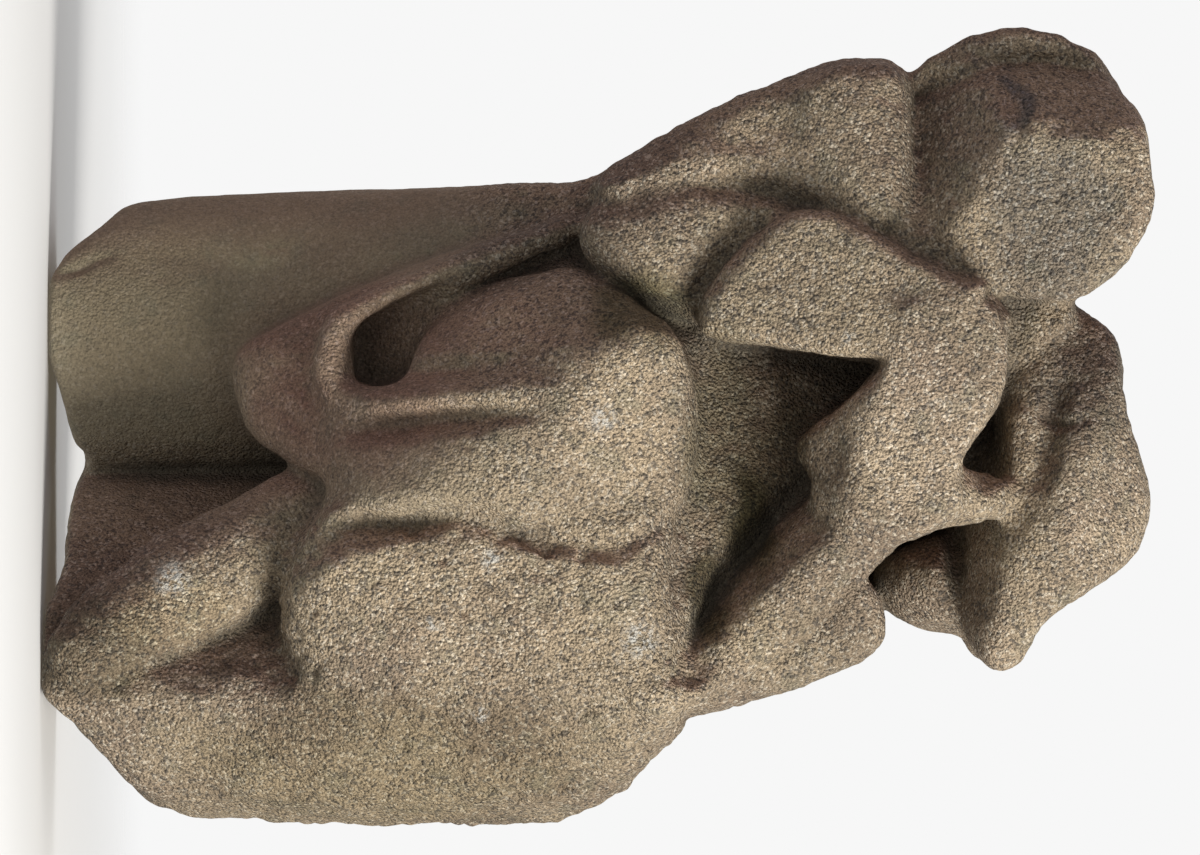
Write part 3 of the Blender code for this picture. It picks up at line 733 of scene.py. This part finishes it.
class Nodes:
    """A short way to write a node tree."""

    def __init__(self, tree):
        self.tree = tree

    def fill(self, socket, value):
        """Links a socket to another one, or sets it to a number or colour."""
        if isinstance(value, bpy.types.NodeSocket):
            self.tree.links.new(value, socket)
        elif isinstance(value, tuple) and len(value) == 3:
            socket.default_value = (*value, 1.0)
        else:
            socket.default_value = value

    def new(self, kind, **inputs):
        """A new node, with sockets filled or settings made by name."""
        node = self.tree.nodes.new(kind)
        for key, value in inputs.items():
            if key in node.inputs:
                self.fill(node.inputs[key], value)
            else:
                setattr(node, key, value)
        return node

    def noise(self, where, scale, detail=2.0, roughness=0.5):
        node = self.new("ShaderNodeTexNoise", Vector=where, Scale=scale, Detail=detail, Roughness=roughness)
        return node.outputs["Fac"]

    def ramp(self, value, low, high, to_low=0.0, to_high=1.0):
        node = self.new("ShaderNodeMapRange", Value=value, interpolation_type="SMOOTHSTEP")
        names = "From Min", "From Max", "To Min", "To Max"
        for name, number in zip(names, (low, high, to_low, to_high)):
            node.inputs[name].default_value = number
        return node.outputs["Result"]

    def maths(self, operation, a, b):
        node = self.tree.nodes.new("ShaderNodeMath")
        node.operation = operation
        self.fill(node.inputs[0], a)
        self.fill(node.inputs[1], b)
        return node.outputs[0]

    def mixed(self, share, a, b, blend="MIX"):
        node = self.tree.nodes.new("ShaderNodeMix")
        node.data_type = "RGBA"
        node.blend_type = blend
        for number, value in ((MIX_FACTOR, share), (MIX_A, a), (MIX_B, b)):
            self.fill(node.inputs[number], value)
        return node.outputs[MIX_RESULT]


BEIGE = (0.44, 0.345, 0.232)
BROWN = (0.31, 0.235, 0.165)
GREEN_GREY = (0.245, 0.225, 0.157)
SMOOTHED = (0.315, 0.262, 0.174)
DARK_GRAIN = (0.12, 0.105, 0.09)
PALE_GRAIN = (0.66, 0.57, 0.44)
HOLLOW_PAINTED_SHADE = (0.10, 0.085, 0.065)
CHALK = (0.72, 0.70, 0.64)
GRAIN_SCALE, COARSE_SCALE, FINE_SCALE = 620.0, 290, 800
BUMP_HEIGHT = 0.0030


def stone_material():
    """Coarse stone: grains, dark and pale ones among them, stained patches with painted shade and painted
    light among them, painted shade in the hollows and painted light on the ridges, and chalky spots.
    """
    material = bpy.data.materials.new("stone_with_painted_light_and_shade")
    material.use_nodes = True
    tree = material.node_tree
    shader = tree.nodes["Principled BSDF"]
    n = Nodes(tree)
    where = n.new("ShaderNodeTexCoord").outputs["Object"]
    hollow, flank, white = (n.new("ShaderNodeAttribute", attribute_name=name).outputs["Fac"]
                            for name in ("hollow", "flank", "chalk"))
    # this attribute carries the colour patches, painted shade and painted light among them
    stain_and_painted_light = n.new("ShaderNodeAttribute", attribute_name="stain_and_painted_light").outputs["Color"]
    grains = n.new("ShaderNodeTexVoronoi", Vector=where, Scale=GRAIN_SCALE)
    kinds = n.new("ShaderNodeSeparateColor", Color=grains.outputs["Color"])
    coarse, fine = n.noise(where, COARSE_SCALE, 3, 0.65), n.noise(where, FINE_SCALE, 2, 0.6)
    colour = n.mixed(n.ramp(n.noise(where, 13, 3), 0.38, 0.66), BEIGE, BROWN)
    colour = n.mixed(n.ramp(flank, 0, 1, 0, 0.85), colour, SMOOTHED)
    colour = n.mixed(n.ramp(n.noise(where, 60, 4, 0.6), 0.50, 0.72, 0, 0.5), colour, GREEN_GREY)
    fewer = n.ramp(flank, 0, 1, 1.0, 0.25)
    dark = n.maths("MULTIPLY", fewer, n.ramp(kinds.outputs["Red"], 0.76, 0.86, 0, 0.7))
    colour = n.mixed(dark, colour, DARK_GRAIN)
    pale = n.maths("MULTIPLY", fewer, n.ramp(kinds.outputs["Green"], 0.82, 0.90, 0, 0.65))
    colour = n.mixed(pale, colour, PALE_GRAIN)
    colour = n.mixed(n.ramp(flank, 0, 1, 1.0, 0.35), colour,
                     n.mixed(1.0, colour, n.ramp(fine, 0.36, 0.62, 0.60, 1.30), "MULTIPLY"))
    colour = n.mixed(1.0, colour, stain_and_painted_light, "MULTIPLY")
    # painted shade: the hollows darkened towards near black, where shade would fall
    colour = n.mixed(n.ramp(hollow, 0.02, 0.28, 0, 0.72), colour, HOLLOW_PAINTED_SHADE)
    # painted light: ridges and edges made up to a quarter brighter
    colour = n.mixed(1.0, colour, n.ramp(hollow, -0.30, -0.12, 1.25, 1.0), "MULTIPLY")
    colour = n.mixed(n.maths("MULTIPLY", white, n.ramp(coarse, 0.40, 0.58, 0, 0.85)), colour, CHALK)
    tree.links.new(colour, shader.inputs["Base Color"])
    shader.inputs["Roughness"].default_value = 0.92
    shader.inputs["Specular IOR Level"].default_value = 0.25
    height = n.maths("SUBTRACT", n.maths("ADD", coarse, n.maths("MULTIPLY", fine, 0.8)),
                     n.maths("MULTIPLY", grains.outputs["Distance"], 0.65))
    height = n.maths("MULTIPLY", height, n.ramp(flank, 0, 1, 1.0, 0.4))
    bump = n.new("ShaderNodeBump", Strength=1.0, Distance=BUMP_HEIGHT, Height=height)
    tree.links.new(bump.outputs["Normal"], shader.inputs["Normal"])
    return material


FLOOR_REACH = 3.0
FLOOR_DROP = 0.0004
FLOOR_FADES = (0.3, 1.7)


def plain_floor():
    """A pale floor that fades into the pale air around it before it ends."""
    mesh = bpy.data.meshes.new("floor")
    signs = (-1, -1), (1, -1), (1, 1), (-1, 1)
    mesh.from_pydata([(x * FLOOR_REACH, y * FLOOR_REACH, 0) for x, y in signs], [], [(0, 1, 2, 3)])
    floor = bpy.data.objects.new("floor", mesh)
    floor.location.z = -FLOOR_DROP
    bpy.context.scene.collection.objects.link(floor)
    material = bpy.data.materials.new("pale_floor")
    material.use_nodes = True
    n = Nodes(material.node_tree)
    shader = material.node_tree.nodes["Principled BSDF"]
    shader.inputs["Base Color"].default_value = (0.86, 0.85, 0.83, 1)
    shader.inputs["Roughness"].default_value = 0.9
    distance = n.new("ShaderNodeVectorMath", operation="LENGTH")
    n.tree.links.new(n.new("ShaderNodeTexCoord").outputs["Object"], distance.inputs[0])
    n.tree.links.new(n.ramp(distance.outputs["Value"], *FLOOR_FADES, 1, 0), shader.inputs["Alpha"])
    mesh.materials.append(material)
    floor.visible_diffuse = False
    floor.visible_glossy = False


def area_light(name, towards, distance, size, power, colour=(1, 1, 1)):
    """A square soft light that stands this far off in one direction and looks back at the stone."""
    light = bpy.data.lights.new(name, "AREA")
    light.size = size
    light.energy = power
    light.color = colour
    holder = bpy.data.objects.new(name, light)
    middle = Vector((0, 0, HEIGHT / 2))
    way = Vector(towards).normalized()
    holder.location = middle + way * distance
    holder.rotation_euler = way.to_track_quat("Z", "Y").to_euler()
    bpy.context.scene.collection.objects.link(holder)


def studio():
    """Soft lights and a pale world, which the camera sees brighter than it lights the stone."""
    scene = bpy.context.scene
    scene.view_settings.view_transform = "Standard"
    area_light("key", (0.68, -0.66, 0.42), 3.2, 1.2, 123, (1.0, 0.985, 0.95))
    area_light("back_fill", (-0.4, 1.0, 0.7), 3.5, 2.5, 30)
    world = bpy.data.worlds.new("pale_air")
    scene.world = world
    world.use_nodes = True
    n = Nodes(world.node_tree)
    lit = n.new("ShaderNodeBackground", Color=(0.97, 0.98, 1.0, 1), Strength=0.40)
    seen = n.new("ShaderNodeBackground", Color=(1, 1, 1, 1), Strength=0.93)
    pick = n.new("ShaderNodeMixShader")
    rays = n.new("ShaderNodeLightPath").outputs["Is Camera Ray"]
    for output, socket in zip((rays, lit.outputs[0], seen.outputs[0]), pick.inputs):
        n.tree.links.new(output, socket)
    n.tree.links.new(pick.outputs[0], world.node_tree.nodes["World Output"].inputs["Surface"])


CAMERA_DISTANCE = 7.5
CAMERA_AIM = (-1.25, 60.0, 280.0)
PICTURE_WIDTH = 600.0


def photo_camera(middle):
    """The photograph's view, from far in front, turned so that the picture's right is the stone's top."""
    camera = bpy.data.cameras.new("camera")
    camera.sensor_width = 36
    camera.lens = 36 * CAMERA_DISTANCE / (PICTURE_WIDTH * SCALE)
    camera.clip_end = 100
    holder = bpy.data.objects.new("camera", camera)
    bpy.context.scene.collection.objects.link(holder)
    turned = Matrix(((0, -1, 0), (0, 0, -1), (1, 0, 0))).to_4x4()
    aim = Vector((CAMERA_AIM - middle) * TO_METRES)
    holder.matrix_world = Matrix.Translation(aim - Vector((0, CAMERA_DISTANCE, 0))) @ turned
    bpy.context.scene.camera = holder


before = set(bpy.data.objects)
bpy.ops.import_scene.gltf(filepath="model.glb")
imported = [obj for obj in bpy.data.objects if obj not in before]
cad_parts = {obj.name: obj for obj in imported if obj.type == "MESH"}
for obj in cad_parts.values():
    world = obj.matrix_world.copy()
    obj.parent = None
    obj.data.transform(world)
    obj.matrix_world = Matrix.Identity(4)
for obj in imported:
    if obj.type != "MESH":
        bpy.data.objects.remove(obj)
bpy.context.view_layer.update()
clay = carve(CLAY_STEP)
stone, middle = skin_object(clay)
roughen(stone, middle)
write_weathering_and_painted_light(stone, clay, middle)
stone.data.materials.append(stone_material())
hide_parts("carved_capital")
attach(stone, "root")
plain_floor()
studio()
photo_camera(middle)
print("triangles", sum(len(face.vertices) - 2 for face in stone.data.polygons))
